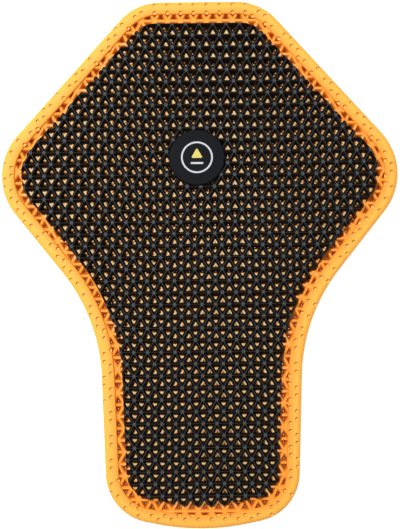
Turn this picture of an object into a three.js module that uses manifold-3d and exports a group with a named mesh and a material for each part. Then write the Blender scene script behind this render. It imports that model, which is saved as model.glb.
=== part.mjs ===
// Back protector insert: two stacked sheets of moulded elastomer lattice, held together by a round button.
// Millimetres, +Z up. The insert lies on its worn side, with +Y towards the neck and +X to the right.
// The origin is on the underside, at the middle of the outline's box.
// Each gap in the sheets stands for a group of the real, smaller cells, and lies on the same rib lines.
import * as THREE from "three";
import { mergeVertices } from "three/addons/utils/BufferGeometryUtils.js";
import Module from "manifold-3d";

const wasm = await Module();
wasm.setup();

// Outline of the base sheet: sharp corners of its right half, before they are rounded.
const LENGTH = 423.65; // neck edge to the sharp middle of the hem
const NECK_HALF_WIDTH = 50;
const NECK_RADIUS = 44;
const WING_HALF_WIDTH = 173.3;
const WING_DROP = 138; // below the neck edge
const WING_RADIUS = 49;
const WAIST_HALF_WIDTH = 81;
const WAIST_DROP = 253.5;
const WAIST_RADIUS = 141;
const HEM_HALF_WIDTH = 75.4;
const HEM_RISE = 15.8; // from the sharp middle of the hem up to its corners
const HEM_CORNER_RADIUS = 39;
const HEM_RADIUS = 180;

// Base sheet, the yellow one.
const BASE_HEIGHT = 8; // to the crests of its ribs
const FLANGE_WIDTH = 10.5;
const FLANGE_STEP = 1.6; // how far the flange stands above the ribs
const FLANGE_EDGE_ROUND = 3.6;
const BASE_FOOT_BEVEL = 0.8;
const BASE_PITCH_ACROSS = 10.45;
const BASE_PITCH_ALONG = 10.74;
const BASE_LATTICE_X = 6.7; // a lattice node, from the middle of the part
const BASE_LATTICE_DROP = 201.2; // the same node, below the neck edge
const BASE_CREST_WIDTH = 1.7;
const BASE_PIN_HOLE_SIDE = 1.9; // side of the small opening at the bottom of a pocket
const BASE_FIELD_RIM = 1.2; // solid strip between the pockets and the flange's step

// Outer sheet, the black one, and how far its edges lie inside the base sheet's.
const OUTER_THICKNESS = 6.5;
const NECK_MARGIN = 19;
const SHOULDER_MARGIN = 16.5;
const FLANK_MARGIN = 16.5;
const SIDE_MARGIN = 16.8;
const HEM_MARGIN = 18.8;
const OUTER_EDGE_BEVEL = 0.6;
const OUTER_PITCH = 10.8;
const OUTER_LATTICE_X = -4.6;
const OUTER_LATTICE_DROP = 197.2;
const OUTER_CREST_WIDTH = 0.8;
const OUTER_RIB_FOOT_WIDTH = 3;
const OUTER_FIELD_RIM = 2.4;

// Button: a cap on the outer sheet, and a stem through both sheets to a foot under the base sheet.
const BUTTON_X = -2;
const BUTTON_DROP = 127.5;
const CAP_RADIUS = 22.3;
const CAP_THICKNESS = 2.8;
const CAP_SUNK = 1.2; // part of the cap's thickness that lies below the rib crests
const CAP_EDGE_ROUND = 1.4;
const STEM_RADIUS = 8;
const FOOT_RADIUS = 14;
const FOOT_THICKNESS = 2;
const SEAT_WALL = 3; // sheet left round the stem and round the foot

const CLEARANCE = 0.3; // between pieces that touch
const CELL_GROUP = 3; // real cells along one side of a modelled gap
const LEAST_GAP_DEPTH = 5; // how far inside the field the middle of a cell lies, or it stays solid
const ARC_STEP = THREE.MathUtils.degToRad(6);
const ROUND_STEPS = 3;
const TURN_SIDES = 48;
const OVERCUT = 1; // how far a cutter reaches past the face that it cuts
const ROW_HEIGHT = Math.sqrt(3) / 2; // of an equilateral cell, for a pitch of one

// Levels, from the underside up.
const FLANGE_TOP = BASE_HEIGHT + FLANGE_STEP;
const OUTER_BOTTOM = BASE_HEIGHT + CLEARANCE;
const OUTER_TOP = OUTER_BOTTOM + OUTER_THICKNESS;
const CAP_BOTTOM = OUTER_TOP - CAP_SUNK;
const CAP_TOP = CAP_BOTTOM + CAP_THICKNESS;

/** The base sheet's sharp corners, counter-clockwise; margin is that of the edge to the next corner. */
function baseCorners() {
  const right = [
    { x: 0, drop: LENGTH, radius: HEM_RADIUS, margin: HEM_MARGIN },
    { x: HEM_HALF_WIDTH, drop: LENGTH - HEM_RISE, radius: HEM_CORNER_RADIUS, margin: SIDE_MARGIN },
    { x: WAIST_HALF_WIDTH, drop: WAIST_DROP, radius: WAIST_RADIUS, margin: FLANK_MARGIN },
    { x: WING_HALF_WIDTH, drop: WING_DROP, radius: WING_RADIUS, margin: SHOULDER_MARGIN },
    { x: NECK_HALF_WIDTH, drop: 0, radius: NECK_RADIUS, margin: NECK_MARGIN },
  ];
  const left = right
    .slice(1)
    .reverse()
    .map((corner, k) => ({ ...corner, x: -corner.x, margin: right[right.length - 2 - k].margin }));
  return [...right, ...left].map(({ x, drop, radius, margin }) => ({
    point: new THREE.Vector2(x, -drop),
    radius,
    margin,
  }));
}

/** Which way a corner of a counter-clockwise outline turns: 1 where it bulges out, -1 where it is hollow. */
function turnAt(before, corner, after) {
  const entering = corner.clone().sub(before);
  return Math.sign(entering.cross(after.clone().sub(corner)));
}

/** Where two lines meet, each given by a point and a direction. */
function crossing(pointA, directionA, pointB, directionB) {
  const reach = pointB.clone().sub(pointA).cross(directionB) / directionA.cross(directionB);
  return pointA.clone().addScaledVector(directionA, reach);
}

/** The outline with each edge moved inwards by its own distance, and each radius kept concentric. */
function insetCorners(corners, distanceOf) {
  const count = corners.length;
  const edges = corners.map((corner, k) => {
    const direction = corners[(k + 1) % count].point.clone().sub(corner.point).normalize();
    const distance = distanceOf(corner);
    const inwards = new THREE.Vector2(-direction.y, direction.x);
    return { start: corner.point.clone().addScaledVector(inwards, distance), direction, distance };
  });
  return corners.map((corner, k) => {
    const last = edges[(k + count - 1) % count];
    const next = edges[k];
    const turn = Math.sign(last.direction.cross(next.direction));
    const radius = Math.max(0, corner.radius - (turn * (last.distance + next.distance)) / 2);
    return { ...corner, point: crossing(last.start, last.direction, next.start, next.direction), radius };
  });
}

/** Points along the outline, counter-clockwise, with each corner as an arc. */
function roundedPoints(corners) {
  const count = corners.length;
  return corners.flatMap(({ point, radius }, k) => {
    const before = corners[(k + count - 1) % count].point;
    const after = corners[(k + 1) % count].point;
    const toBefore = before.clone().sub(point).normalize();
    const toAfter = after.clone().sub(point).normalize();
    const opening = toBefore.angleTo(toAfter);
    const turn = turnAt(before, point, after);
    const centre = point
      .clone()
      .addScaledVector(toBefore.clone().add(toAfter).normalize(), radius / Math.sin(opening / 2));
    const start = point.clone().addScaledVector(toBefore, radius / Math.tan(opening / 2)).sub(centre);
    const swept = turn * (Math.PI - opening);
    const steps = Math.max(1, Math.ceil((Math.PI - opening) / ARC_STEP));
    return Array.from({ length: steps + 1 }, (_, step) =>
      start.clone().rotateAround(new THREE.Vector2(), (swept * step) / steps).add(centre),
    );
  });
}

/** A closed solid between outlines stacked in height; the outlines have the same number of points. */
function stackedSolid(rings) {
  const count = rings[0].points.length;
  const positions = rings.flatMap(({ points, z }) => points.flatMap((p) => [p.x, p.y, z]));
  const triangles = [];
  for (let ring = 0; ring + 1 < rings.length; ring += 1) {
    for (let k = 0; k < count; k += 1) {
      const low = ring * count + k;
      const lowNext = ring * count + ((k + 1) % count);
      triangles.push(low, lowNext, lowNext + count, low, lowNext + count, low + count);
    }
  }
  const top = (rings.length - 1) * count;
  for (const [a, b, c] of THREE.ShapeUtils.triangulateShape(rings[0].points, [])) {
    triangles.push(a, c, b);
  }
  for (const [a, b, c] of THREE.ShapeUtils.triangulateShape(rings[rings.length - 1].points, [])) {
    triangles.push(top + a, top + b, top + c);
  }
  return solidOf(positions, triangles);
}

/** A solid from flat lists of coordinates and of corner numbers. */
function solidOf(positions, triangles) {
  return new wasm.Manifold(
    new wasm.Mesh({
      numProp: 3,
      vertProperties: new Float32Array(positions),
      triVerts: new Uint32Array(triangles),
    }),
  );
}

/** A solid from a three.js geometry, with its shared vertices merged and its empty triangles left out. */
function solidFrom(geometry) {
  const bare = geometry.clone();
  bare.deleteAttribute("normal");
  bare.deleteAttribute("uv");
  const merged = mergeVertices(bare);
  const triangles = [];
  for (let k = 0; k < merged.index.count; k += 3) {
    const [a, b, c] = merged.index.array.slice(k, k + 3);
    if (a !== b && b !== c && c !== a) triangles.push(a, b, c);
  }
  return solidOf(merged.attributes.position.array, triangles);
}

/** A slab whose top edge is rounded and whose bottom edge has a small bevel. */
function edgedSlab(corners, { bottom, top, bevel, round, roundSteps }) {
  const ring = (z, inset) => ({ z, points: roundedPoints(insetCorners(corners, () => inset)) });
  const rings = [ring(bottom, bevel), ring(bottom + bevel, 0)];
  for (let step = 0; step <= roundSteps; step += 1) {
    const angle = (Math.PI / 2) * (step / roundSteps);
    rings.push(ring(top - round + round * Math.sin(angle), round * (1 - Math.cos(angle))));
  }
  return stackedSolid(rings);
}

/** A straight prism over an outline. */
function prism(corners, bottom, top) {
  const points = roundedPoints(corners);
  return stackedSolid([
    { z: bottom, points },
    { z: top, points },
  ]);
}

/** An upright cylinder. */
function disc(x, y, radius, bottom, top) {
  const geometry = new THREE.CylinderGeometry(radius, radius, top - bottom, TURN_SIDES);
  geometry.rotateX(Math.PI / 2);
  geometry.translate(x, y, (bottom + top) / 2);
  return solidFrom(geometry);
}

/** The triangles of a lattice, pointing up and down, out to at least a reach from its node at x, y. */
function latticeTriangles({ pitchAcross, pitchAlong, x, y, reach }) {
  const row = pitchAlong * ROW_HEIGHT;
  const rows = Math.ceil(reach / row) + 1;
  const columns = Math.ceil(reach / pitchAcross) + rows;
  const node = (i, j) => new THREE.Vector2(x + (i + j / 2) * pitchAcross, y + j * row);
  const triangles = [];
  for (let j = -rows; j <= rows; j += 1) {
    for (let i = -columns; i <= columns; i += 1) {
      triangles.push([node(i, j), node(i + 1, j), node(i, j + 1)]);
      triangles.push([node(i + 1, j), node(i + 1, j + 1), node(i, j + 1)]);
    }
  }
  return triangles;
}

/** The radius of the largest circle inside a triangle. */
function inradius([a, b, c]) {
  const doubledArea = Math.abs(b.clone().sub(a).cross(c.clone().sub(a)));
  return doubledArea / (a.distanceTo(b) + b.distanceTo(c) + c.distanceTo(a));
}

/** The middle of a triangle. */
function middleOf([a, b, c]) {
  return a.clone().add(b).add(c).divideScalar(3);
}

/** Whether a point lies inside an outline by at least the given distance. */
function liesInside(point, outline, distance) {
  let inside = false;
  let nearest = Infinity;
  outline.forEach((start, k) => {
    const end = outline[(k + 1) % outline.length];
    if (start.y > point.y !== end.y > point.y) {
      const share = (point.y - start.y) / (end.y - start.y);
      if (point.x < start.x + share * (end.x - start.x)) inside = !inside;
    }
    const along = end.clone().sub(start);
    const share = THREE.MathUtils.clamp(point.clone().sub(start).dot(along) / along.lengthSq(), 0, 1);
    nearest = Math.min(nearest, point.distanceTo(start.clone().addScaledVector(along, share)));
  });
  return inside && nearest >= distance;
}

/** A cutter through one cell: a triangle that narrows from the rib crests at the top to the rib feet. */
function cellCutter(triangle, { bottom, top, crestInset, footInset }) {
  const corners = triangle.map((point) => ({ point, radius: 0 }));
  const slope = (footInset - crestInset) / (top - bottom);
  const ringAt = (z) => {
    const inset = Math.min(crestInset + slope * (top - z), inradius(triangle));
    return { z, points: insetCorners(corners, () => inset).map(({ point }) => point) };
  };
  return stackedSolid([
    { z: bottom - OVERCUT, points: ringAt(bottom).points },
    ringAt(bottom),
    ringAt(top),
    { z: top + OVERCUT, points: ringAt(top).points },
  ]);
}

/** The cutters for a sheet's gaps, kept inside a field; a cell with its middle outside it stays solid. */
function gapCutter(lattice, cell, field) {
  const outline = roundedPoints(field);
  const cutters = latticeTriangles(lattice)
    .filter((triangle) => liesInside(middleOf(triangle), outline, LEAST_GAP_DEPTH))
    .map((triangle) => cellCutter(triangle, cell));
  return wasm.Manifold.union(cutters).intersect(
    prism(field, cell.bottom - 2 * OVERCUT, cell.top + 2 * OVERCUT),
  );
}

const rawCorners = baseCorners();
const rawHeights = roundedPoints(rawCorners).map((p) => p.y);
const middle = (Math.min(...rawHeights) + Math.max(...rawHeights)) / 2;
const outlineCorners = rawCorners.map((corner) => ({
  ...corner,
  point: corner.point.clone().sub(new THREE.Vector2(0, middle)),
}));
const heightAt = (drop) => -drop - middle;
const buttonY = heightAt(BUTTON_DROP);

/** The base sheet: a flange round a field of pockets that narrow to small openings in the underside. */
function baseSheet() {
  const inner = insetCorners(outlineCorners, () => FLANGE_WIDTH);
  const lattice = {
    pitchAcross: BASE_PITCH_ACROSS * CELL_GROUP,
    pitchAlong: BASE_PITCH_ALONG * CELL_GROUP,
    x: BASE_LATTICE_X,
    y: heightAt(BASE_LATTICE_DROP),
    reach: LENGTH,
  };
  const pinInradius = (BASE_PIN_HOLE_SIDE * CELL_GROUP) / (2 * Math.sqrt(3));
  const cell = {
    bottom: 0,
    top: BASE_HEIGHT,
    crestInset: (BASE_CREST_WIDTH * CELL_GROUP) / 2,
    footInset: inradius(latticeTriangles(lattice)[0]) - pinInradius,
  };
  const seatRadius = FOOT_RADIUS + CLEARANCE + SEAT_WALL;
  const gaps = gapCutter(lattice, cell, insetCorners(inner, () => BASE_FIELD_RIM)).subtract(
    disc(BUTTON_X, buttonY, seatRadius, -2 * OVERCUT, BASE_HEIGHT + 2 * OVERCUT),
  );
  return edgedSlab(outlineCorners, {
    bottom: 0,
    top: FLANGE_TOP,
    bevel: BASE_FOOT_BEVEL,
    round: FLANGE_EDGE_ROUND,
    roundSteps: ROUND_STEPS,
  })
    .subtract(prism(inner, BASE_HEIGHT, FLANGE_TOP + OVERCUT))
    .subtract(gaps)
    .subtract(disc(BUTTON_X, buttonY, STEM_RADIUS + CLEARANCE, -OVERCUT, BASE_HEIGHT + OVERCUT))
    .subtract(disc(BUTTON_X, buttonY, FOOT_RADIUS + CLEARANCE, -OVERCUT, FOOT_THICKNESS + CLEARANCE));
}

/** The outer sheet: an open triangular grid with a seat for the button's cap. */
function outerSheet() {
  const edge = insetCorners(outlineCorners, ({ margin }) => margin);
  const lattice = {
    pitchAcross: OUTER_PITCH * CELL_GROUP,
    pitchAlong: OUTER_PITCH * CELL_GROUP,
    x: OUTER_LATTICE_X,
    y: heightAt(OUTER_LATTICE_DROP),
    reach: LENGTH,
  };
  const cell = {
    bottom: OUTER_BOTTOM,
    top: OUTER_TOP,
    crestInset: (OUTER_CREST_WIDTH * CELL_GROUP) / 2,
    footInset: (OUTER_RIB_FOOT_WIDTH * CELL_GROUP) / 2,
  };
  const gaps = gapCutter(lattice, cell, insetCorners(edge, () => OUTER_FIELD_RIM)).subtract(
    disc(BUTTON_X, buttonY, CAP_RADIUS, OUTER_BOTTOM - 2 * OVERCUT, OUTER_TOP + 2 * OVERCUT),
  );
  return edgedSlab(edge, {
    bottom: OUTER_BOTTOM,
    top: OUTER_TOP,
    bevel: OUTER_EDGE_BEVEL,
    round: OUTER_EDGE_BEVEL,
    roundSteps: 1,
  })
    .subtract(gaps)
    .subtract(disc(BUTTON_X, buttonY, STEM_RADIUS + CLEARANCE, OUTER_BOTTOM - OVERCUT, OUTER_TOP + OVERCUT))
    .subtract(disc(BUTTON_X, buttonY, CAP_RADIUS + CLEARANCE, CAP_BOTTOM - CLEARANCE, OUTER_TOP + OVERCUT));
}

/** The button, turned round its own axis: foot, stem and cap, with the cap's top edge rounded. */
function centreButton() {
  const profile = [
    new THREE.Vector2(0, 0),
    new THREE.Vector2(FOOT_RADIUS, 0),
    new THREE.Vector2(FOOT_RADIUS, FOOT_THICKNESS),
    new THREE.Vector2(STEM_RADIUS, FOOT_THICKNESS),
    new THREE.Vector2(STEM_RADIUS, CAP_BOTTOM),
    new THREE.Vector2(CAP_RADIUS, CAP_BOTTOM),
  ];
  for (let step = 0; step <= ROUND_STEPS; step += 1) {
    const angle = (Math.PI / 2) * (step / ROUND_STEPS);
    profile.push(
      new THREE.Vector2(
        CAP_RADIUS - CAP_EDGE_ROUND * (1 - Math.cos(angle)),
        CAP_TOP - CAP_EDGE_ROUND * (1 - Math.sin(angle)),
      ),
    );
  }
  profile.push(new THREE.Vector2(0, CAP_TOP));
  const geometry = new THREE.LatheGeometry(profile, TURN_SIDES);
  geometry.rotateX(Math.PI / 2);
  geometry.translate(BUTTON_X, buttonY, 0);
  return solidFrom(geometry);
}

/** A named mesh of a solid, with its own material. */
function meshOf(name, solid, { color, roughness }) {
  const { vertProperties, triVerts } = solid.getMesh();
  const geometry = new THREE.BufferGeometry();
  geometry.setAttribute("position", new THREE.BufferAttribute(new Float32Array(vertProperties), 3));
  geometry.setIndex(new THREE.BufferAttribute(new Uint32Array(triVerts), 1));
  geometry.computeVertexNormals();
  const material = new THREE.MeshStandardMaterial({ color, roughness, metalness: 0, flatShading: true });
  const mesh = new THREE.Mesh(geometry, material);
  mesh.name = name;
  return mesh;
}

const insert = new THREE.Group();
insert.add(meshOf("base_sheet", baseSheet(), { color: 0xf7a935, roughness: 0.55 }));
insert.add(meshOf("outer_sheet", outerSheet(), { color: 0x14171b, roughness: 0.5 }));
insert.add(meshOf("centre_button", centreButton(), { color: 0x17191c, roughness: 0.6 }));

export default insert;
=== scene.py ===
"""Dresses the back protector insert: a yellow lattice sheet, a black open grid on it, and a round button.

Everything is in metres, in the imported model's frame: +Z out of the worn side, +Y towards the neck edge.
The insert lies on its worn side, and the camera looks down on the grid.
"""

from __future__ import annotations

import logging
import math
from contextlib import contextmanager
from dataclasses import dataclass, field
from enum import Enum
from typing import Any, Iterator, Sequence

import bpy
import numpy as np
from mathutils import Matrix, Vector

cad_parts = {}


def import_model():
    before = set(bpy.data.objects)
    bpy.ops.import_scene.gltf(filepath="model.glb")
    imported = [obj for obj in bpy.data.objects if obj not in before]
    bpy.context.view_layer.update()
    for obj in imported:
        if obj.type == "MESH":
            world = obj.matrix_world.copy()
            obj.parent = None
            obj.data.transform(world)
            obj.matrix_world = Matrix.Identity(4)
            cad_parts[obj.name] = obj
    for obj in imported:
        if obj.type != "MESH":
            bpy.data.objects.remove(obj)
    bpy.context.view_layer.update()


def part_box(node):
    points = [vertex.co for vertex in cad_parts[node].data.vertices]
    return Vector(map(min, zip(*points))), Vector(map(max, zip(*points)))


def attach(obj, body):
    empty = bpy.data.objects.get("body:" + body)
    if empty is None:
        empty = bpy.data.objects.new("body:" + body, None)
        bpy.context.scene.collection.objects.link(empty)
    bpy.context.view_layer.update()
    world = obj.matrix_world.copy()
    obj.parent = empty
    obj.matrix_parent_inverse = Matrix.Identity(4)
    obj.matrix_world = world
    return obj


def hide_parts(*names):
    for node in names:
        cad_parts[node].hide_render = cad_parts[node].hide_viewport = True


MM = 0.001
ROW_HEIGHT = math.sqrt(3) / 2
ARC_MIDDLE = 0.3  # how far in the middle of a quarter arc lies, as a share of its radius
CELL_POINTS = 9  # on each ring of a cell's cutter
OVERCUT = 1 * MM  # how far a cutter reaches past what it cuts
TINY = 1e-12
SMOOTH_ROUND_DEG = 40
SMOOTH_RIBS_DEG = 30
SHADE = "shade"
AT_CREST = 0.05  # the stored depth of the crests; the flange has 0
AT_EDGE = 0.1  # the stored way inwards at the outer edge; the dimples' floors have 0
NOISE_MIDDLE = 0.5
MIX_FIRST, MIX_SECOND, MIX_RESULT = 6, 7, 2  # the colour sockets of a Mix node
log = logging.getLogger("insert")

Point = tuple[float, float]
Colour = tuple[float, float, float]
Stops = Sequence[tuple[float, Colour]]
Thing = bpy.types.Object
Material = bpy.types.Material
Socket = bpy.types.NodeSocket


class Node(Enum):
    """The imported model's nodes."""

    BASE = "base_sheet"
    OUTER = "outer_sheet"
    BUTTON = "centre_button"


class Slot(Enum):
    """Material slot names; nothing in the script uses them."""

    BASE = "base_elastomer"
    GRID = "grid_elastomer"
    BUTTON = "button_elastomer"
    PALE = "print_pale"
    YELLOW = "print_yellow"


# Modelling helpers


def deselect_all() -> None:
    """Leaves nothing selected and nothing active."""
    bpy.ops.object.select_all(action="DESELECT")
    bpy.context.view_layer.objects.active = None


def pick(*objects: Thing) -> None:
    """Selects these objects alone, with the first one active.

    Args:
        objects: What the next operator acts on.
    """
    deselect_all()
    for thing in objects:
        thing.select_set(True)
    bpy.context.view_layer.objects.active = objects[0]


@contextmanager
def edit_mode(thing: Thing) -> Iterator[None]:
    """Opens an object in edit mode to work on faces, and leaves edit mode at the end.

    Args:
        thing: The mesh object to edit.
    """
    pick(thing)
    bpy.ops.object.mode_set(mode="EDIT")
    bpy.ops.mesh.select_mode(type="FACE")
    try:
        yield
    finally:
        bpy.ops.object.mode_set(mode="OBJECT")


def settle(thing: Thing) -> None:
    """Moves an object's place, turn and scale into its mesh.

    Args:
        thing: The object, which then sits at the origin.
    """
    pick(thing)
    bpy.ops.object.transform_apply(location=True, rotation=True, scale=True)


def apply_modifiers(thing: Thing) -> None:
    """Applies every modifier of an object, in order.

    Args:
        thing: The mesh object.
    """
    pick(thing)
    for name in [modifier.name for modifier in thing.modifiers]:
        bpy.ops.object.modifier_apply(modifier=name)


def combine(thing: Thing, tool: Thing, operation: str) -> None:
    """Cuts or joins a closed mesh with another one, which is then removed.

    Args:
        thing: The mesh that keeps the result.
        tool: The other closed mesh.
        operation: DIFFERENCE, INTERSECT or UNION.
    """
    modifier = thing.modifiers.new("combine", "BOOLEAN")
    modifier.operation = operation
    modifier.solver = "MANIFOLD"
    modifier.object = tool
    apply_modifiers(thing)
    bpy.data.objects.remove(tool)


def smooth(thing: Thing, angle_deg: float) -> None:
    """Shades a mesh smooth across edges flatter than an angle.

    Args:
        thing: The mesh object.
        angle_deg: Edges sharper than this stay crisp.
    """
    pick(thing)
    bpy.ops.object.shade_smooth_by_angle(angle=math.radians(angle_deg))


def loft(name: str, rings: Sequence[Sequence[Vector]]) -> Thing:
    """A closed solid through a stack of rings, made by extruding a first face ring by ring.

    Args:
        name: The new object's name.
        rings: From the lowest up, each counter-clockwise seen from above, all with as many points.

    Returns:
        The new mesh object.
    """
    count = len(rings[0])
    deselect_all()
    bpy.ops.mesh.primitive_circle_add(vertices=count, fill_type="NGON")
    solid = bpy.context.object
    solid.name = name
    current = list(range(count))
    for vertex, place in zip(solid.data.vertices, rings[0]):
        vertex.co = place
    for ring in rings[1:]:
        with edit_mode(solid):
            bpy.ops.mesh.select_all(action="DESELECT")
            bpy.ops.object.mode_set(mode="OBJECT")
            members = set(current)
            for face in solid.data.polygons:
                face.select = members == set(face.vertices)
            bpy.ops.object.mode_set(mode="EDIT")
            bpy.ops.mesh.extrude_region_move()
        raised = {}
        for edge in solid.data.edges:
            low, high = edge.vertices
            if (low in members) != (high in members):
                old, new = (low, high) if low in members else (high, low)
                if solid.data.vertices[new].select:
                    raised[old] = new
        current = [raised[old] for old in current]
        for index, place in zip(current, ring):
            solid.data.vertices[index].co = place
    with edit_mode(solid):
        bpy.ops.mesh.select_all(action="SELECT")
        bpy.ops.mesh.normals_make_consistent(inside=False)
    return solid


def raised_ring(points: Sequence[Point], height: float) -> list[Vector]:
    """Plan points as a ring at a height.

    Args:
        points: Places across and along.
        height: The ring's height.

    Returns:
        The ring's points in space.
    """
    return [Vector((x, y, height)) for x, y in points]


def circle(centre: Point, radius: float, sides: int, start: float = 0.0) -> list[Point]:
    """Points on a circle, counter-clockwise.

    Args:
        centre: Its middle.
        radius: Its radius.
        sides: How many points it has.
        start: The first point's angle, from +X.

    Returns:
        The points.
    """
    turns = (start + 2 * math.pi * k / sides for k in range(sides))
    return [(centre[0] + radius * math.cos(t), centre[1] + radius * math.sin(t)) for t in turns]


def turned(name: str, centre: Point, profile: Sequence[tuple[float, float]], sides: int) -> Thing:
    """A solid of revolution about an upright axis.

    Args:
        name: The new object's name.
        centre: Where the axis stands.
        profile: Radius and height of each ring, from the lowest up.
        sides: How many sides it has.

    Returns:
        The new mesh object.
    """
    return loft(name, [raised_ring(circle(centre, radius, sides), height) for radius, height in profile])


# Outlines


@dataclass(frozen=True)
class Corner:
    """A sharp corner of an outline, its rounding, and the margin of the edge to the next corner."""

    x: float
    y: float
    radius: float
    margin: float = 0.0


@dataclass(frozen=True)
class Outline:
    """A closed outline of straight edges and arcs, counter-clockwise."""

    corners: tuple[Corner, ...]
    arc_step_deg: float = 3.0

    def inset(self, distance: float | None = None) -> Outline:
        """The outline moved inwards.

        Args:
            distance: How far each edge moves; without it, each edge moves by its own margin.

        Returns:
            The new outline, with concentric arcs.
        """
        count = len(self.corners)
        edges = []
        for k, corner in enumerate(self.corners):
            after = self.corners[(k + 1) % count]
            direction = Vector((after.x - corner.x, after.y - corner.y)).normalized()
            reach = corner.margin if distance is None else distance
            start = Vector((corner.x, corner.y)) + reach * Vector((-direction.y, direction.x))
            edges.append((start, direction, reach))
        moved = []
        for k, corner in enumerate(self.corners):
            (start_a, along_a, reach_a), (start_b, along_b, reach_b) = edges[k - 1], edges[k]
            turn = along_a.cross(along_b)
            place = start_a + along_a * ((start_b - start_a).cross(along_b) / turn)
            radius = corner.radius - math.copysign((reach_a + reach_b) / 2, turn)
            moved.append(Corner(place.x, place.y, max(0.0, radius), corner.margin))
        return Outline(tuple(moved), self.arc_step_deg)

    def points(self) -> list[Point]:
        """The outline as points, with each corner as an arc."""
        count = len(self.corners)
        found: list[Point] = []
        for k, corner in enumerate(self.corners):
            place = Vector((corner.x, corner.y))
            before = self.corners[k - 1]
            after = self.corners[(k + 1) % count]
            back = (Vector((before.x, before.y)) - place).normalized()
            ahead = (Vector((after.x, after.y)) - place).normalized()
            opening = back.angle(ahead)
            turn = math.copysign(math.pi - opening, (-back).cross(ahead))
            middle = place + (back + ahead).normalized() * (corner.radius / math.sin(opening / 2))
            spoke = place + back * (corner.radius / math.tan(opening / 2)) - middle
            steps = max(1, math.ceil(abs(turn) / math.radians(self.arc_step_deg)))
            for step in range(steps + 1):
                angle = turn * step / steps
                cosine, sine = math.cos(angle), math.sin(angle)
                x = middle.x + spoke.x * cosine - spoke.y * sine
                y = middle.y + spoke.x * sine + spoke.y * cosine
                found.append((x, y))
        return found

    def depth(self, places: np.ndarray) -> np.ndarray:
        """How far inside the outline places lie; negative outside.

        Args:
            places: Rows of across and along.

        Returns:
            One distance for each row.
        """
        starts = np.array(self.points(), dtype=np.float32)
        ends = np.roll(starts, -1, axis=0)
        nearest = np.full(len(places), np.inf, dtype=np.float32)
        inside = np.zeros(len(places), dtype=bool)
        for start, end in zip(starts, ends):
            along = end - start
            offset = places - start
            share = np.clip(offset @ along / max(float(along @ along), TINY), 0, 1)
            nearest = np.minimum(nearest, np.linalg.norm(offset - share[:, None] * along, axis=1))
            if start[1] != end[1]:
                straddles = (start[1] > places[:, 1]) != (end[1] > places[:, 1])
                meets = start[0] + offset[:, 1] / along[1] * along[0]
                inside ^= straddles & (places[:, 0] < meets)
        return np.where(inside, nearest, -nearest)


@dataclass(frozen=True)
class InsertShape:
    """The base sheet's outline, by the sharp corners of its right half; drops are below the neck edge."""

    length: float = 423.65 * MM
    neck_half: float = 50 * MM
    neck_radius: float = 44 * MM
    neck_margin: float = 19 * MM
    wing_half: float = 173.3 * MM
    wing_drop: float = 138 * MM
    wing_radius: float = 49 * MM
    shoulder_margin: float = 16.5 * MM
    waist_half: float = 81 * MM
    waist_drop: float = 253.5 * MM
    waist_radius: float = 141 * MM
    flank_margin: float = 16.5 * MM
    hem_half: float = 75.4 * MM
    hem_rise: float = 15.8 * MM
    hem_corner_radius: float = 39 * MM
    hem_radius: float = 180 * MM
    side_margin: float = 16.8 * MM
    hem_margin: float = 18.8 * MM

    def outline(self, neck_y: float) -> Outline:
        """The outline, counter-clockwise from the middle of the hem.

        Args:
            neck_y: Where the neck edge lies.

        Returns:
            The base sheet's outline.
        """
        hem_y = neck_y - self.length
        right = [
            Corner(self.hem_half, hem_y + self.hem_rise, self.hem_corner_radius, self.side_margin),
            Corner(self.waist_half, neck_y - self.waist_drop, self.waist_radius, self.flank_margin),
            Corner(self.wing_half, neck_y - self.wing_drop, self.wing_radius, self.shoulder_margin),
            Corner(self.neck_half, neck_y, self.neck_radius, self.neck_margin),
        ]
        margins = [corner.margin for corner in reversed(right[:-1])] + [self.hem_margin]
        mirrored = zip(reversed(right), margins)
        left = [Corner(-corner.x, corner.y, corner.radius, margin) for corner, margin in mirrored]
        hem = Corner(0.0, hem_y, self.hem_radius, self.hem_margin)
        return Outline((hem, *right, *left))


# Lattices and the cutters of their cells


@dataclass(frozen=True)
class Lattice:
    """A triangular lattice with one line family along X."""

    across: float
    along: float
    node_x: float
    node_y: float

    @property
    def row(self) -> float:
        """The distance between rows of nodes."""
        return self.along * ROW_HEIGHT

    @property
    def inradius(self) -> float:
        """The radius of the circle that fits in a cell of equal sides."""
        return self.along / (2 * math.sqrt(3))


@dataclass(frozen=True)
class CellRing:
    """One level of a cell's cutter."""

    height: float
    inset: float
    corner_cut: float


def cell_ring(lattice: Lattice, level: CellRing, points_up: bool) -> list[Vector]:
    """A rounded triangle inside one cell, about the cell's middle.

    Args:
        lattice: Its sizes.
        level: The ring's height, its distance from the rib lines and how much of each corner is rounded.
        points_up: Whether the cell points to the neck or to the hem.

    Returns:
        Nine points, three at each corner, counter-clockwise.
    """
    reach = 2 * (lattice.inradius - level.inset)
    start = math.pi / 2 if points_up else -math.pi / 2
    tips = [Vector(tip) * reach for tip in circle((0.0, 0.0), 1.0, 3, start)]
    stretch = lattice.across / lattice.along
    ring = []
    for k, tip in enumerate(tips):
        to_last = (tips[k - 1] - tip).normalized()
        to_next = (tips[(k + 1) % 3] - tip).normalized()
        inwards = -tip.normalized()
        for place in (
            tip + to_last * level.corner_cut,
            tip + inwards * level.corner_cut / math.sqrt(3),
            tip + to_next * level.corner_cut,
        ):
            ring.append(Vector((place.x * stretch, place.y, level.height)))
    return ring


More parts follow.
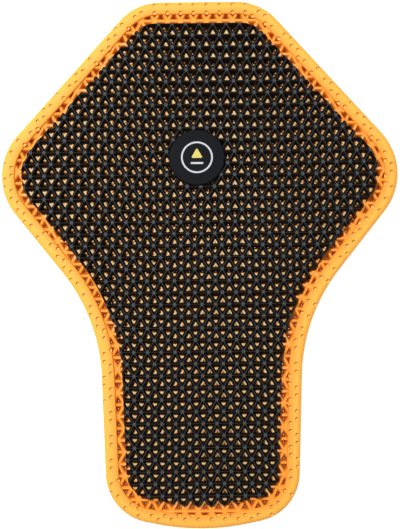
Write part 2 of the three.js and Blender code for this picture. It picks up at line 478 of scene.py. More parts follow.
def cell_middles(lattice: Lattice, outline: Outline, points_up: bool) -> np.ndarray:
    """The middles of the cells of one kind in the outline's box.

    Args:
        lattice: Its sizes.
        outline: Whose box they fill.
        points_up: Which kind of cell.

    Returns:
        Rows of across and along.
    """
    box = np.array(outline.points())
    low, high = box.min(0), box.max(0)
    first = math.floor((low[1] - lattice.node_y) / lattice.row) - 1
    last = math.ceil((high[1] - lattice.node_y) / lattice.row) + 1
    rise = lattice.row / 3 if points_up else lattice.row * 2 / 3
    middles = []
    for j in range(first, last):
        line_x = lattice.node_x + (j + 1) / 2 * lattice.across + (0 if points_up else lattice.across / 2)
        start = math.floor((low[0] - line_x) / lattice.across) - 1
        stop = math.ceil((high[0] - line_x) / lattice.across) + 1
        y = lattice.node_y + j * lattice.row + rise
        middles += [(line_x + i * lattice.across, y) for i in range(start, stop)]
    return np.array(middles)


def spread(pattern: Thing, middles: np.ndarray) -> Thing:
    """Copies of a small solid at many places, joined in one mesh.

    Args:
        pattern: The solid, about the origin; it is removed.
        middles: Rows of across and along.

    Returns:
        The joined mesh object.
    """
    pick(pattern)
    bpy.ops.object.modifier_add(type="ARRAY")
    array = pattern.modifiers[-1]
    array.count = len(middles)
    array.use_relative_offset = False
    array.use_constant_offset = True
    array.constant_offset_displace = (0, 0, 0)
    size = len(pattern.data.vertices)
    apply_modifiers(pattern)
    places = np.zeros(len(pattern.data.vertices) * 3)
    pattern.data.vertices.foreach_get("co", places)
    places = places.reshape(len(middles), size, 3)
    places[:, :, :2] += middles[:, None, :]
    pattern.data.vertices.foreach_set("co", places.ravel())
    pattern.data.update()
    return pattern


def join(name: str, *parts: Thing) -> Thing:
    """Joins meshes in one object.

    Args:
        name: The result's name.
        parts: The meshes; the first one keeps the others.

    Returns:
        The joined object.
    """
    pick(*parts)
    bpy.ops.object.join()
    parts[0].name = name
    return parts[0]


# Shaders


@dataclass(frozen=True)
class Wire:
    """A number in a shader; Python's operators on it add Math nodes."""

    shader: Shader
    socket: Socket

    def _maths(self, operation: str, first: Any, second: Any) -> Wire:
        """A Math node on two values."""
        node = self.shader.node("ShaderNodeMath", {"operation": operation}, {0: first, 1: second})
        return Wire(self.shader, node.outputs[0])

    def __add__(self, other: Any) -> Wire:
        """self + other."""
        return self._maths("ADD", self, other)

    __radd__ = __add__

    def __sub__(self, other: Any) -> Wire:
        """self - other."""
        return self._maths("SUBTRACT", self, other)

    def __rsub__(self, other: Any) -> Wire:
        """other - self."""
        return self._maths("SUBTRACT", other, self)

    def __mul__(self, other: Any) -> Wire:
        """self * other."""
        return self._maths("MULTIPLY", self, other)

    __rmul__ = __mul__

    def __truediv__(self, other: Any) -> Wire:
        """self / other."""
        return self._maths("DIVIDE", self, other)

    def __rtruediv__(self, other: Any) -> Wire:
        """other / self."""
        return self._maths("DIVIDE", other, self)

    def clamped(self) -> Wire:
        """The value kept from 0 to 1."""
        node = self.shader.node("ShaderNodeClamp", {}, {"Value": self})
        return Wire(self.shader, node.outputs[0])

    def off_whole(self) -> Wire:
        """How far the value is from the nearest whole number."""
        return self._maths("PINGPONG", self, 0.5)

    def lesser(self, other: Any) -> Wire:
        """The smaller one of two values."""
        return self._maths("MINIMUM", self, other)


class Shader:
    """A material whose nodes are added one method call at a time."""

    def __init__(self, name: str) -> None:
        """Starts an empty material.

        Args:
            name: The material's name.
        """
        self.material = bpy.data.materials.new(name)
        self.material.use_nodes = True
        self.tree = self.material.node_tree
        self.tree.nodes.clear()
        self.output = self.tree.nodes.new("ShaderNodeOutputMaterial")

    def node(self, kind: str, settings: dict[str, Any], sockets: dict[Any, Any]) -> bpy.types.Node:
        """Adds a node.

        Args:
            kind: The node's type.
            settings: Its properties, which are set first.
            sockets: A value, a Wire or an output socket for each input, by name or number.

        Returns:
            The new node.
        """
        added = self.tree.nodes.new(kind)
        for name, value in settings.items():
            setattr(added, name, value)
        for key, value in sockets.items():
            source = value.socket if isinstance(value, Wire) else value
            if isinstance(source, Socket):
                self.tree.links.new(source, added.inputs[key])
            else:
                added.inputs[key].default_value = source
        return added

    def place(self) -> Socket:
        """Object coordinates."""
        return self.node("ShaderNodeTexCoord", {}, {}).outputs["Object"]

    def position(self) -> tuple[Wire, Wire, Wire]:
        """The place across, along and up, in metres."""
        parts = self.node("ShaderNodeSeparateXYZ", {}, {0: self.place()})
        across, along, height = (Wire(self, parts.outputs[axis]) for axis in "XYZ")
        return across, along, height

    def noise(self, size: float, detail: float) -> Wire:
        """Noise from 0 to 1.

        Args:
            size: The size of its blotches, in metres.
            detail: Its octaves.

        Returns:
            The noise's value.
        """
        sockets = {"Vector": self.place(), "Scale": 1 / size, "Detail": detail}
        return Wire(self, self.node("ShaderNodeTexNoise", {}, sockets).outputs[0])

    def ramp(self, factor: Wire, stops: Stops) -> Socket:
        """A colour ramp.

        Args:
            factor: Where in the ramp to read.
            stops: Places from 0 to 1, each with a colour.

        Returns:
            The ramp's colour.
        """
        node = self.node("ShaderNodeValToRGB", {}, {0: factor})
        elements = node.color_ramp.elements
        while len(elements) < len(stops):
            elements.new(1.0)
        for element, (place, colour) in zip(elements, stops):
            element.position = place
            element.color = (*colour, 1.0)
        return node.outputs["Color"]

    def blend(self, factor: Any, first: Any, second: Any, kind: str = "MIX") -> Socket:
        """Two colours mixed.

        Args:
            factor: 0 gives the first one, 1 the second one.
            first: A colour or an output socket.
            second: A colour or an output socket.
            kind: How they mix, such as MIX or MULTIPLY.

        Returns:
            The mixed colour.
        """
        colours = [(*c, 1.0) if isinstance(c, tuple) else c for c in (first, second)]
        settings = {"data_type": "RGBA", "blend_type": kind}
        sockets = {0: factor, MIX_FIRST: colours[0], MIX_SECOND: colours[1]}
        return self.node("ShaderNodeMix", settings, sockets).outputs[MIX_RESULT]

    def bump(self, height: Wire, strength: float, distance: float) -> Socket:
        """A bumped normal.

        Args:
            height: The relief.
            strength: From 0 to 1.
            distance: The relief's depth in metres.

        Returns:
            The normal.
        """
        sockets = {"Height": height, "Strength": strength, "Distance": distance}
        return self.node("ShaderNodeBump", {}, sockets).outputs["Normal"]

    def surface(self, **sockets: Any) -> Material:
        """Ends the material in a Principled shader.

        Args:
            sockets: Its inputs, with spaces written as underscores.

        Returns:
            The material.
        """
        named = {name.replace("_", " "): value for name, value in sockets.items()}
        shader = self.node("ShaderNodeBsdfPrincipled", {}, named)
        self.tree.links.new(shader.outputs[0], self.output.inputs["Surface"])
        return self.material


@dataclass(frozen=True)
class MouldedElastomer:
    """A matte moulded elastomer with a fine mould grain and faint blotches."""

    name: str
    colour: Colour
    roughness: float
    specular: float
    mottle: float = 0.06
    grain: float = 0.25
    grain_size: float = 0.45 * MM
    grain_depth: float = 0.08 * MM
    grain_detail: float = 2.0
    grain_gloss: float = 0.12
    blotch_size: float = 38 * MM
    blotch_detail: float = 4.0
    blotch_gloss: float = 0.1
    blotch_share: float = 0.7

    def body(self, shader: Shader) -> Any:
        """The colour before the grain and the blotches.

        Args:
            shader: The material being made.

        Returns:
            A colour or an output socket.
        """
        return self.colour

    def material(self) -> Material:
        """The finish as a material."""
        shader = Shader(self.name)
        blotches = shader.noise(self.blotch_size, self.blotch_detail)
        grain = shader.noise(self.grain_size, self.grain_detail)
        pattern = blotches * self.blotch_share + grain * (1 - self.blotch_share)
        shade = 1.0 - pattern * (2 * self.mottle) + self.mottle
        grain_sheen = (grain - NOISE_MIDDLE) * self.grain_gloss
        blotch_sheen = (blotches - NOISE_MIDDLE) * self.blotch_gloss
        grey = shader.node("ShaderNodeCombineColor", {}, {0: shade, 1: shade, 2: shade}).outputs[0]
        return shader.surface(
            Base_Color=shader.blend(1.0, self.body(shader), grey, "MULTIPLY"),
            Roughness=self.roughness + grain_sheen + blotch_sheen,
            Specular_IOR_Level=self.specular,
            Normal=shader.bump(grain, self.grain, self.grain_depth),
        )


@dataclass(frozen=True)
class PocketElastomer(MouldedElastomer):
    """An elastomer with painted shade: darker down its pockets, and darker still where the other sheet covers
    it, with paler crests there as a painted highlight.
    """

    # Painted light: the dimples' floors are painted paler than the flange, as if lit through an opening
    # below.
    dimple_floor_light: Colour = (0.8, 0.43, 0.09)
    # Painted shade: from this share of the way inwards, the flange turns darker and deeper orange towards its
    # inner edge.
    inner_shade_colour: Colour = (0.74, 0.25, 0.02)
    inner_shade_start: float = 0.45
    # Painted shade: the colour by depth in the open, darker down the pockets.
    sunk_shade: Stops = ((AT_CREST, (0.8, 0.27, 0.025)), (0.25, (0.6, 0.15, 0.01)), (0.7, (0.2, 0.04, 0.003)))
    # Painted shade and highlight where the grid covers the sheet: pale crests, and pockets that go almost
    # black.
    under_grid_shade_and_highlight: Stops = ((AT_CREST, (0.66, 0.43, 0.2)), (0.17, (0.45, 0.14, 0.012)), (0.42, (0.03, 0.008, 0.001)))

    def body(self, shader: Shader) -> Any:
        """The colour by depth and cover, from the piece's own attribute: painted shade down the pockets and
        under the grid, a painted highlight on the covered crests, and the flange's colour by its way inwards.
        """
        stored = shader.node("ShaderNodeAttribute", {"attribute_name": SHADE}, {})
        parts = shader.node("ShaderNodeSeparateColor", {}, {0: stored.outputs["Color"]})
        depth, cover, inwards = (Wire(shader, parts.outputs[k]) for k in range(3))
        plain = [(AT_EDGE, self.colour), (self.inner_shade_start, self.colour)]
        flange = shader.ramp(inwards, [(0.0, self.dimple_floor_light), *plain, (1.0, self.inner_shade_colour)])
        in_field = (depth * (1 / AT_CREST)).clamped()
        open_air = shader.blend(in_field, flange, shader.ramp(depth, self.sunk_shade))
        return shader.blend(cover, open_air, shader.ramp(depth, self.under_grid_shade_and_highlight))


@dataclass(frozen=True, kw_only=True)
class CrestElastomer(MouldedElastomer):
    """An elastomer lattice with a painted highlight on its crests, stronger at its nodes and slanted crests
    than on its level crests.
    """

    lattice: Lattice
    highlight_fade_start: float
    highlight_fade_end: float
    # Painted highlight: the crests' top is painted a paler grey.
    crest_highlight_colour: Colour = (0.047, 0.052, 0.056)
    # How much of the painted highlight the level crests lose.
    level_highlight_loss: float = 0.75
    node_reach: float = 0.22

    def body(self, shader: Shader) -> Any:
        """The colour by height, and by the distance from the nearest slanted rib: a painted highlight on the
        crests' top.
        """
        x, y, z = shader.position()
        column = (x - self.lattice.node_x) / self.lattice.across
        half_row = (y - self.lattice.node_y) / (2 * self.lattice.row)
        off_slant = (column - half_row).off_whole().lesser((column + half_row).off_whole())
        painted_highlight = 1.0 - (off_slant / self.node_reach).clamped() * self.level_highlight_loss
        rise = ((z - self.highlight_fade_start) / (self.highlight_fade_end - self.highlight_fade_start)).clamped()
        return shader.blend(rise * painted_highlight, self.colour, self.crest_highlight_colour)


@dataclass(frozen=True)
class ThinPrint:
    """A thin matte print with slightly uneven cover."""

    name: str
    colour: Colour
    worn_colour: Colour
    roughness: float = 0.5
    wear_size: float = 1.4 * MM
    wear_detail: float = 4.0
    wear_contrast: float = 1.5
    wear_start: float = 0.4
    wear_gloss: float = 0.2
    relief: float = 0.15
    relief_depth: float = 0.02 * MM

    def material(self) -> Material:
        """The finish as a material."""
        shader = Shader(self.name)
        wear = shader.noise(self.wear_size, self.wear_detail)
        worn = (wear * self.wear_contrast - self.wear_start).clamped()
        return shader.surface(
            Base_Color=shader.blend(worn, self.colour, self.worn_colour),
            Roughness=self.roughness + wear * self.wear_gloss,
            Normal=shader.bump(wear, self.relief, self.relief_depth),
        )


# Pieces


def paint_shade(piece: Thing, shade: np.ndarray) -> None:
    """Stores three shares for each face corner, for the material to read.

    Args:
        piece: The mesh object.
        shade: Rows of depth in a pocket, cover by the grid and way inwards, each from 0 to 1.
    """
    pick(piece)
    bpy.ops.geometry.color_attribute_add(name=SHADE, domain="CORNER", data_type="FLOAT_COLOR")
    colours = np.zeros((len(shade), 4))
    colours[:, :3] = shade
    colours[:, 3] = 1.0
    piece.data.attributes[SHADE].data.foreach_set("color", colours.ravel())


def read_mesh(elements: Any, name: str, width: int) -> np.ndarray:
    """One property of all vertices, corners or faces of a mesh.

    Args:
        elements: The mesh's vertices, loops or polygons.
        name: The property.
        width: How many numbers it has.

    Returns:
        The numbers, with a row for each element.
    """
    values = np.zeros(len(elements) * width, dtype=np.float32)
    elements.foreach_get(name, values)
    return values.reshape(-1, width)


def hand_over(piece: Thing, material: Material, node: Node | None = None) -> None:
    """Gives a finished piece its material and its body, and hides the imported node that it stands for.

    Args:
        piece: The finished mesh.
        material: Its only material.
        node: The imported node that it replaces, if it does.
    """
    settle(piece)
    piece.data.materials.clear()
    piece.data.materials.append(material)
    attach(piece, "root")
    if node is not None:
        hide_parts(node.value)
    triangles = sum(len(face.vertices) - 2 for face in piece.data.polygons)
    log.info("%s: %d triangles", piece.name, triangles)


@dataclass
class Button:
    """The round button: a cap with a rounded edge, a stem and a foot."""

    centre: Point
    cap_radius: float
    cap_top: float
    cap_thickness: float = 2.8 * MM
    edge_round: float = 1.5 * MM
    lower_edge: float = 0.3 * MM
    stem_radius: float = 8 * MM
    foot_radius: float = 14 * MM
    foot_thickness: float = 2 * MM
    foot_edge: float = 0.4 * MM
    clearance: float = 0.3 * MM
    sides: int = 96
    round_steps: int = 6

    @property
    def cap_bottom(self) -> float:
        """The underside of the cap."""
        return self.cap_top - self.cap_thickness

    def distance(self, places: np.ndarray) -> np.ndarray:
        """How far places lie from the button's axis.

        Args:
            places: Rows of across and along.

        Returns:
            One distance for each row.
        """
        return np.hypot(places[:, 0] - self.centre[0], places[:, 1] - self.centre[1])

    def build(self) -> Thing:
        """Turns the button in one piece."""
        profile = [
            (self.foot_radius - self.foot_edge, 0.0),
            (self.foot_radius, self.foot_edge),
            (self.foot_radius, self.foot_thickness),
            (self.stem_radius, self.foot_thickness),
            (self.stem_radius, self.cap_bottom),
            (self.cap_radius - self.lower_edge, self.cap_bottom),
            (self.cap_radius, self.cap_bottom + self.lower_edge),
        ]
        for step in range(self.round_steps + 1):
            angle = math.pi / 2 * step / self.round_steps
            radius = self.cap_radius - self.edge_round * (1 - math.cos(angle))
            profile.append((radius, self.cap_top - self.edge_round * (1 - math.sin(angle))))
        button = turned("button", self.centre, profile, self.sides)
        smooth(button, SMOOTH_ROUND_DEG)
        return button

    def dress(self, button: Thing) -> None:
        """Finishes the button.

        Args:
            button: Its mesh.
        """
        finish = MouldedElastomer(
            name="button elastomer",
            colour=(0.005, 0.0058, 0.007),
            roughness=0.7,
            specular=0.06,
            mottle=0.12,
            grain=0.5,
            grain_size=0.6 * MM,
            blotch_size=9 * MM,
        )
        hand_over(button, finish.material(), Node.BUTTON)


@dataclass
class CapPrint:
    """Generic marks printed on the cap: a thin ring, a small triangle and a short bar under it."""

    centre: Point
    surface: float
    lift: float = 0.02 * MM
    thickness: float = 0.12 * MM
    ring_radius: float = 12.6 * MM
    ring_width: float = 1.3 * MM
    triangle_radius: float = 5.4 * MM
    triangle_rise: float = 2.2 * MM
    triangle_round: float = 0.8 * MM
    bar_half: float = 5.0 * MM
    bar_width: float = 1.5 * MM
    bar_drop: float = 4.6 * MM
    bar_end_share: float = 0.98
    sides: int = 72
    arc_step_deg: float = 15.0

    def _plate(self, name: str, points: Sequence[Point]) -> Thing:
        """A thin plate over plan points, lying on the cap."""
        low = self.surface + self.lift
        return loft(name, [raised_ring(points, low), raised_ring(points, low + self.thickness)])

    def ring(self) -> Thing:
        """The ring, cut from a disc."""
        disc = self._plate("print_ring", circle(self.centre, self.ring_radius, self.sides))
        inner = circle(self.centre, self.ring_radius - self.ring_width, self.sides)
        low, high = self.surface - OVERCUT, self.surface + self.thickness + OVERCUT
        combine(disc, loft("ring hole", [raised_ring(inner, low), raised_ring(inner, high)]), "DIFFERENCE")
        return disc

    def triangle(self) -> Thing:
        """The triangle, which points to the neck edge."""
        middle = (self.centre[0], self.centre[1] + self.triangle_rise)
        tips = circle(middle, self.triangle_radius, 3, start=math.pi / 2)
        corners = tuple(Corner(x, y, self.triangle_round) for x, y in tips)
        return self._plate("print_triangle", Outline(corners, self.arc_step_deg).points())

    def bar(self) -> Thing:
        """The bar, with round ends."""
        x, y = self.centre[0], self.centre[1] - self.bar_drop
        half = self.bar_width / 2
        signs = ((-1, -1), (1, -1), (1, 1), (-1, 1))
        end_round = self.bar_end_share * half
        corners = tuple(Corner(x + i * self.bar_half, y + j * half, end_round) for i, j in signs)
        return self._plate("print_bar", Outline(corners, self.arc_step_deg).points())

    def build_and_dress(self) -> None:
        """Makes the three marks and finishes them."""
        pale = ThinPrint("pale print", (0.44, 0.46, 0.48), worn_colour=(0.3, 0.32, 0.34)).material()
        yellow = ThinPrint("yellow print", (0.52, 0.43, 0.07), worn_colour=(0.4, 0.33, 0.05)).material()
        hand_over(self.ring(), pale)
        hand_over(self.bar(), pale)
        hand_over(self.triangle(), yellow)


@dataclass
class OuterSheet:
    """The black sheet: a triangular grid of thin crests over steep pockets that open at the bottom."""

    outline: Outline
    bottom: float
    top: float
    lattice: Lattice
    button: Button
    crest_half: float = 0.09 * MM
    shoulder_half: float = 0.36 * MM
    shoulder_drop: float = 0.35 * MM
    foot_half: float = 1.75 * MM
    foot_round: float = 0.6 * MM
    throat_rise: float = 1.6 * MM
    node_round: float = 1.5 * MM
    edge_round: float = 0.6 * MM
    seat_overlap: float = 4.5 * MM
    # How far down from the top the painted crest highlight fades in.
    highlight_fade_depth: float = 0.12 * MM

    def _slab(self) -> Thing:
        """The sheet before its cells are cut, with its edges rounded a little."""
        bevel = self.edge_round
        return loft(
            "grid",
            [
                raised_ring(self.outline.inset(bevel).points(), self.bottom),
                raised_ring(self.outline.points(), self.bottom + bevel),
                raised_ring(self.outline.points(), self.top - bevel),
                raised_ring(self.outline.inset(bevel * ARC_MIDDLE).points(), self.top - bevel * ARC_MIDDLE),
                raised_ring(self.outline.inset(bevel).points(), self.top),
            ],
        )

    def _levels(self) -> list[CellRing]:
        """The cutter's levels, from below the sheet up."""
        return [
            CellRing(self.bottom - OVERCUT, self.foot_half, self.foot_round),
            CellRing(self.bottom + self.throat_rise, self.foot_half, self.foot_round),
            CellRing(self.top - self.shoulder_drop, self.shoulder_half, self.node_round),
            CellRing(self.top, self.crest_half, self.node_round),
            CellRing(self.top + OVERCUT, self.crest_half, self.node_round),
        ]

    def build(self) -> Thing:
        """Cuts the cells and the button's seat from the slab."""
        cutters = []
        for points_up in (True, False):
            rings = [cell_ring(self.lattice, level, points_up) for level in self._levels()]
            middles = cell_middles(self.lattice, self.outline, points_up)
            middles = middles[self.outline.depth(middles) > -self.lattice.along]
            middles = middles[self.button.distance(middles) > self.button.cap_radius - self.seat_overlap]
            cutters.append(spread(loft("cell", rings), middles))
        sheet = self._slab()
        combine(sheet, join("cells", *cutters), "DIFFERENCE")
        button, gap = self.button, self.button.clearance
        seat_profile = [
            (button.stem_radius + gap, self.bottom - OVERCUT),
            (button.stem_radius + gap, button.cap_bottom - gap),
            (button.cap_radius + gap, button.cap_bottom - gap),
            (button.cap_radius + gap, self.top + OVERCUT),
        ]
        combine(sheet, turned("seat", button.centre, seat_profile, button.sides), "DIFFERENCE")
        smooth(sheet, SMOOTH_RIBS_DEG)
        return sheet

    def dress(self, sheet: Thing) -> None:
        """Finishes the black sheet.

        Args:
            sheet: Its mesh.
        """
        # The finish paints a pale highlight on the crests' top, strongest at the nodes and slanted crests.
        finish = CrestElastomer(
            name="black elastomer",
            colour=(0.0075, 0.005, 0.0035),
            roughness=0.6,
            specular=0.12,
            mottle=0.12,
            grain=0.2,
            lattice=self.lattice,
            highlight_fade_start=self.top - self.highlight_fade_depth,
            highlight_fade_end=self.top,
        )
        hand_over(sheet, finish.material(), Node.OUTER)


@dataclass
class BaseSheet:
    """The yellow sheet: a raised flange with dimples, round a field of pockets that end in pin openings."""

    outline: Outline
    cover: Outline
    flange_top: float
    lattice: Lattice
    button: Button
    rib_top: float = 8 * MM
    cover_fade: float = 2 * MM
    flange_width: float = 10.5 * MM
    edge_round: float = 3.6 * MM
    foot_bevel: float = 0.8 * MM
    round_steps: int = 5
    crest_half: float = 0.62 * MM
    crest_cut: float = 0.4 * MM
    shoulder_half: float = 0.95 * MM
    shoulder_cut: float = 0.5 * MM
    shoulder_drop: float = 0.4 * MM
    pin_radius: float = 0.4 * MM
    skin: float = 3.0 * MM
    seat_wall: float = 4.2 * MM
    dimple_radius: float = 1.5 * MM
    dimple_floor_radius: float = 1.3 * MM
    dimple_depth: float = 2.6 * MM
    dimple_rim: float = 0.3 * MM
    dimple_edge_margin: float = 1.8 * MM
    dimple_sides: int = 12
    pocket_overlap: float = 2.2 * MM
    field_rim: float = 0.15 * MM
    step_run: float = 0.8 * MM
    step_soft: float = 0.4 * MM
    flange_rings: tuple[float, ...] = (5.5 * MM, 7.5 * MM, 9.0 * MM)
    upper_rise: float = -0.5  # the least upward part of a normal that isn't the underside's
    flat_rise: float = 0.9  # the least upward part of a level face's normal
    floor_share: float = 0.9  # how far down a dimple its floor's faces begin

    def _slab(self) -> Thing:
        """The sheet's block, with its rounded outer edge and the field sunk below the flange."""
        rings = [
            raised_ring(self.outline.inset(self.foot_bevel).points(), 0.0),
            raised_ring(self.outline.points(), self.foot_bevel),
        ]
        for step in range(self.round_steps + 1):
            angle = math.pi / 2 * step / self.round_steps
            inset = self.edge_round * (1 - math.cos(angle))
            height = self.flange_top - self.edge_round * (1 - math.sin(angle))
            rings.append(raised_ring(self.outline.inset(inset).points(), height))
        for inset in self.flange_rings:
            rings.append(raised_ring(self.outline.inset(inset).points(), self.flange_top))
        slab = loft("lattice_sheet", rings)
        inner = self.outline.inset(self.flange_width)
        half, soft = self.step_run / 2, self.step_soft
        profile = [
            (half + soft, self.rib_top),
            (half, self.rib_top + soft * ARC_MIDDLE),
            (-half, self.flange_top - soft * ARC_MIDDLE),
            (-half - soft, self.flange_top),
            (-half - soft, self.flange_top + OVERCUT),
        ]
        well = [raised_ring(inner.inset(inset).points(), height) for inset, height in profile]
        combine(slab, loft("well", well), "DIFFERENCE")
        return slab

    def _pocket_rings(self, points_up: bool) -> list[list[Vector]]:
        """The rings of a pocket's cutter: a pin opening that flares to the crests."""
        start = math.pi / 2 if points_up else -math.pi / 2
        # One step back, so that each pin point lies below its own point of the triangle.
        pin = circle((0.0, 0.0), self.pin_radius, CELL_POINTS, start - 2 * math.pi / CELL_POINTS)
        levels = (
            CellRing(self.rib_top - self.shoulder_drop, self.shoulder_half, self.shoulder_cut),
            CellRing(self.rib_top, self.crest_half, self.crest_cut),
            CellRing(self.rib_top + OVERCUT, self.crest_half, self.crest_cut),
        )
        flare = [cell_ring(self.lattice, level, points_up) for level in levels]
        return [raised_ring(pin, -OVERCUT), raised_ring(pin, self.skin), *flare]

    def _pockets(self) -> Thing:
        """The cutter of all pockets, kept inside the flange and off the button's seat."""
        inner = self.outline.inset(self.flange_width + self.field_rim)
        cutters = []
        for points_up in (True, False):
            middles = cell_middles(self.lattice, inner, points_up)
            middles = middles[inner.depth(middles) > -self.pocket_overlap]
            middles = middles[self.button.distance(middles) > self.button.foot_radius + self.seat_wall]
            cutters.append(spread(loft("pocket", self._pocket_rings(points_up)), middles))
        pockets = join("pockets", *cutters)
        edge = inner.points()
        low, high = -2 * OVERCUT, self.rib_top + 2 * OVERCUT
        fence = loft("fence", [raised_ring(edge, low), raised_ring(edge, high)])
        combine(pockets, fence, "INTERSECT")
        return pockets

    def _dimples(self) -> Thing:
        """The cutter of the flange's dimples, one at the middle of each cell, each with a rounded rim."""
        profile = [
            (self.dimple_floor_radius, self.flange_top - self.dimple_depth),
            (self.dimple_radius, self.flange_top - self.dimple_rim),
            (self.dimple_radius + self.dimple_rim, self.flange_top),
            (self.dimple_radius + self.dimple_rim, self.flange_top + OVERCUT),
        ]
        inner = self.outline.inset(self.flange_width)
        both = np.concatenate([cell_middles(self.lattice, self.outline, up) for up in (True, False)])
        from_edge = self.outline.depth(both)
        from_field = -inner.depth(both)
        kept = both[(from_edge > self.dimple_edge_margin) & (from_field > self.dimple_rim)]
        return spread(turned("dimple", (0.0, 0.0), profile, self.dimple_sides), kept)

    def build(self) -> Thing:
        """Cuts the pockets, the dimples and the button's hole from the block."""
        sheet = self._slab()
        combine(sheet, self._pockets(), "DIFFERENCE")
        combine(sheet, self._dimples(), "DIFFERENCE")
        button, gap = self.button, self.button.clearance
        hole = [
            (button.foot_radius + gap, -OVERCUT),
            (button.foot_radius + gap, button.foot_thickness + gap),
            (button.stem_radius + gap, button.foot_thickness + gap),
            (button.stem_radius + gap, self.rib_top + OVERCUT),
        ]
        combine(sheet, turned("hole", button.centre, hole, button.sides), "DIFFERENCE")
        smooth(sheet, SMOOTH_RIBS_DEG)
        return sheet

    def _paint(self, sheet: Thing) -> None:
        """Stores each face corner's depth in a pocket, its cover by the grid and its way inwards, from which
        the material paints shade and light.
        """
        mesh = sheet.data
        places = read_mesh(mesh.vertices, "co", 3)
        corners = read_mesh(mesh.loops, "vertex_index", 1).astype(int)[:, 0]
        corner_counts = read_mesh(mesh.polygons, "loop_total", 1).astype(int)[:, 0]
        faces = np.repeat(np.arange(len(mesh.polygons)), corner_counts)
        middles = read_mesh(mesh.polygons, "center", 3)
        rise = read_mesh(mesh.polygons, "normal", 3)[:, 2]
        in_field = self.outline.depth(middles[:, :2]) > self.flange_width
        is_upper = rise > self.upper_rise
        is_low = middles[:, 2] < self.flange_top - self.floor_share * self.dimple_depth
        is_dimple_floor = ~in_field & (rise > self.flat_rise) & is_low
        # Painted shade: the deeper down a pocket, the darker its colour.
        sunk_shade = AT_CREST + (1 - AT_CREST) * np.clip(1 - places[:, 2] / self.rib_top, 0, 1)[corners]
        depth = np.where((in_field & is_upper)[faces], sunk_shade, 0)
        # Painted shade: darker where the grid covers the sheet.
        cover = np.clip(self.cover.depth(places[:, :2]) / self.cover_fade, 0, 1)[corners]
        inwards = np.clip(self.outline.depth(places[:, :2]) / self.flange_width, AT_EDGE, 1)[corners]
        # Painted light: the dimples' floors get 0 and are painted paler.
        inwards = np.where(is_dimple_floor[faces], 0, np.where(is_upper[faces], inwards, AT_EDGE))
        paint_shade(sheet, np.stack([depth, cover * is_upper[faces], inwards], axis=1))

    def dress(self, sheet: Thing) -> None:
        """Finishes the yellow sheet.

        Args:
            sheet: Its mesh.
        """
        self._paint(sheet)
        finish = PocketElastomer("yellow elastomer", (0.8, 0.36, 0.045), roughness=0.6, specular=0.25)
        hand_over(sheet, finish.material(), Node.BASE)


# Studio


@dataclass(frozen=True)
class SoftBox:
    """A square area light that looks at the insert."""

    name: str
    place: tuple[float, float, float]
    size: float
    power: float

    def build(self) -> None:
        """Hangs the light."""
        data = bpy.data.lights.new(self.name, "AREA")
        data.energy = self.power
        data.size = self.size
        light = bpy.data.objects.new(self.name, data)
        light.location = self.place
        light.rotation_euler = (-Vector(self.place)).to_track_quat("-Z", "Y").to_euler()
        bpy.context.scene.collection.objects.link(light)


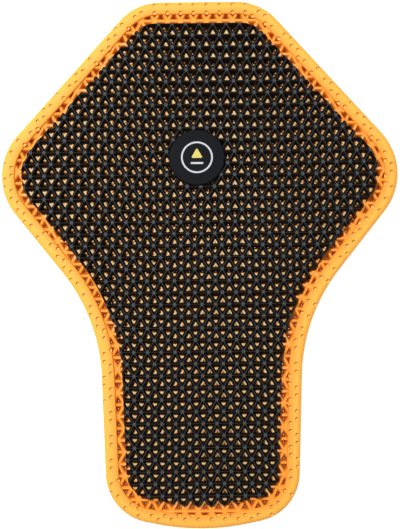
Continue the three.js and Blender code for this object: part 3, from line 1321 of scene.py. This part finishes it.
@dataclass
class Studio:
    """A pale floor, soft lights and the camera above the insert."""

    aim: Vector = field(default_factory=lambda: Vector((-0.45 * MM, -2.6 * MM, 13.8 * MM)))
    distance: float = 1.0898
    tilt_deg: float = 3.81
    roll_deg: float = -0.6
    focal_px: float = 1379.7
    frame_height_px: float = 529
    sensor_height: float = 24.0
    view_reach: float = 20
    floor_size: float = 8
    floor_drop: float = 0.3 * MM
    floor_grey: float = 0.8
    floor_roughness: float = 0.9
    floor_glow: float = 0.75
    room_light: float = 0.3
    soft_boxes: tuple[SoftBox, ...] = (
        SoftBox("key", place=(-0.26, 0.3, 1.35), size=0.3, power=24),
        SoftBox("side", place=(-0.9, 0.35, 0.7), size=0.6, power=4),
    )

    def camera(self) -> None:
        """Puts the camera above the insert, a little towards the hem."""
        data = bpy.data.cameras.new("camera")
        data.sensor_fit = "VERTICAL"
        data.sensor_height = self.sensor_height
        data.lens = self.focal_px * self.sensor_height / self.frame_height_px
        data.clip_end = self.view_reach
        camera = bpy.data.objects.new("camera", data)
        tilt = math.radians(self.tilt_deg)
        camera.location = self.aim + self.distance * Vector((0, -math.sin(tilt), math.cos(tilt)))
        camera.rotation_euler = (tilt, 0, 0)
        camera.rotation_euler.rotate_axis("Z", math.radians(self.roll_deg))
        bpy.context.scene.collection.objects.link(camera)
        bpy.context.scene.camera = camera

    def floor(self) -> None:
        """Lays the pale floor, which glows a little, as a light table does."""
        deselect_all()
        bpy.ops.mesh.primitive_plane_add(size=self.floor_size, location=(0, 0, -self.floor_drop))
        floor = bpy.context.object
        floor.name = "floor"
        settle(floor)
        grey = self.floor_grey
        pale = Shader("floor").surface(
            Base_Color=(grey, grey, grey, 1),
            Roughness=self.floor_roughness,
            Emission_Color=(1, 1, 1, 1),
            Emission_Strength=self.floor_glow,
        )
        floor.data.materials.append(pale)

    def lights(self) -> None:
        """Hangs the soft boxes and fills the room with even light."""
        world = bpy.data.worlds.new("room")
        world.use_nodes = True
        background = world.node_tree.nodes["Background"]
        background.inputs["Color"].default_value = (1, 1, 1, 1)
        background.inputs["Strength"].default_value = self.room_light
        bpy.context.scene.world = world
        for soft_box in self.soft_boxes:
            soft_box.build()

    def build(self) -> None:
        """Sets up the view."""
        bpy.context.scene.view_settings.view_transform = "Standard"
        self.camera()
        self.floor()
        self.lights()


def main() -> None:
    """Loads the frame, sets up the studio and builds each piece in order."""
    logging.basicConfig(level=logging.INFO, format="%(name)s: %(message)s")
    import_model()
    Studio().build()

    _, base_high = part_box(Node.BASE.value)
    outer_low, outer_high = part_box(Node.OUTER.value)
    button_low, button_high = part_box(Node.BUTTON.value)
    neck_y = base_high.y
    outline = InsertShape().outline(neck_y)
    button = Button(
        centre=((button_low.x + button_high.x) / 2, (button_low.y + button_high.y) / 2),
        cap_radius=(button_high.x - button_low.x) / 2,
        cap_top=button_high.z,
    )
    base = BaseSheet(
        outline=outline,
        cover=outline.inset(),
        flange_top=base_high.z,
        lattice=Lattice(across=10.45 * MM, along=10.74 * MM, node_x=6.9 * MM, node_y=neck_y - 201.6 * MM),
        button=button,
    )
    outer = OuterSheet(
        outline=outline.inset(),
        bottom=outer_low.z,
        top=outer_high.z,
        lattice=Lattice(across=10.8 * MM, along=10.8 * MM, node_x=-4.6 * MM, node_y=neck_y - 197.2 * MM),
        button=button,
    )
    base.dress(base.build())
    outer.dress(outer.build())
    button.dress(button.build())
    CapPrint(button.centre, button.cap_top).build_and_dress()


if __name__ == "__main__":
    main()
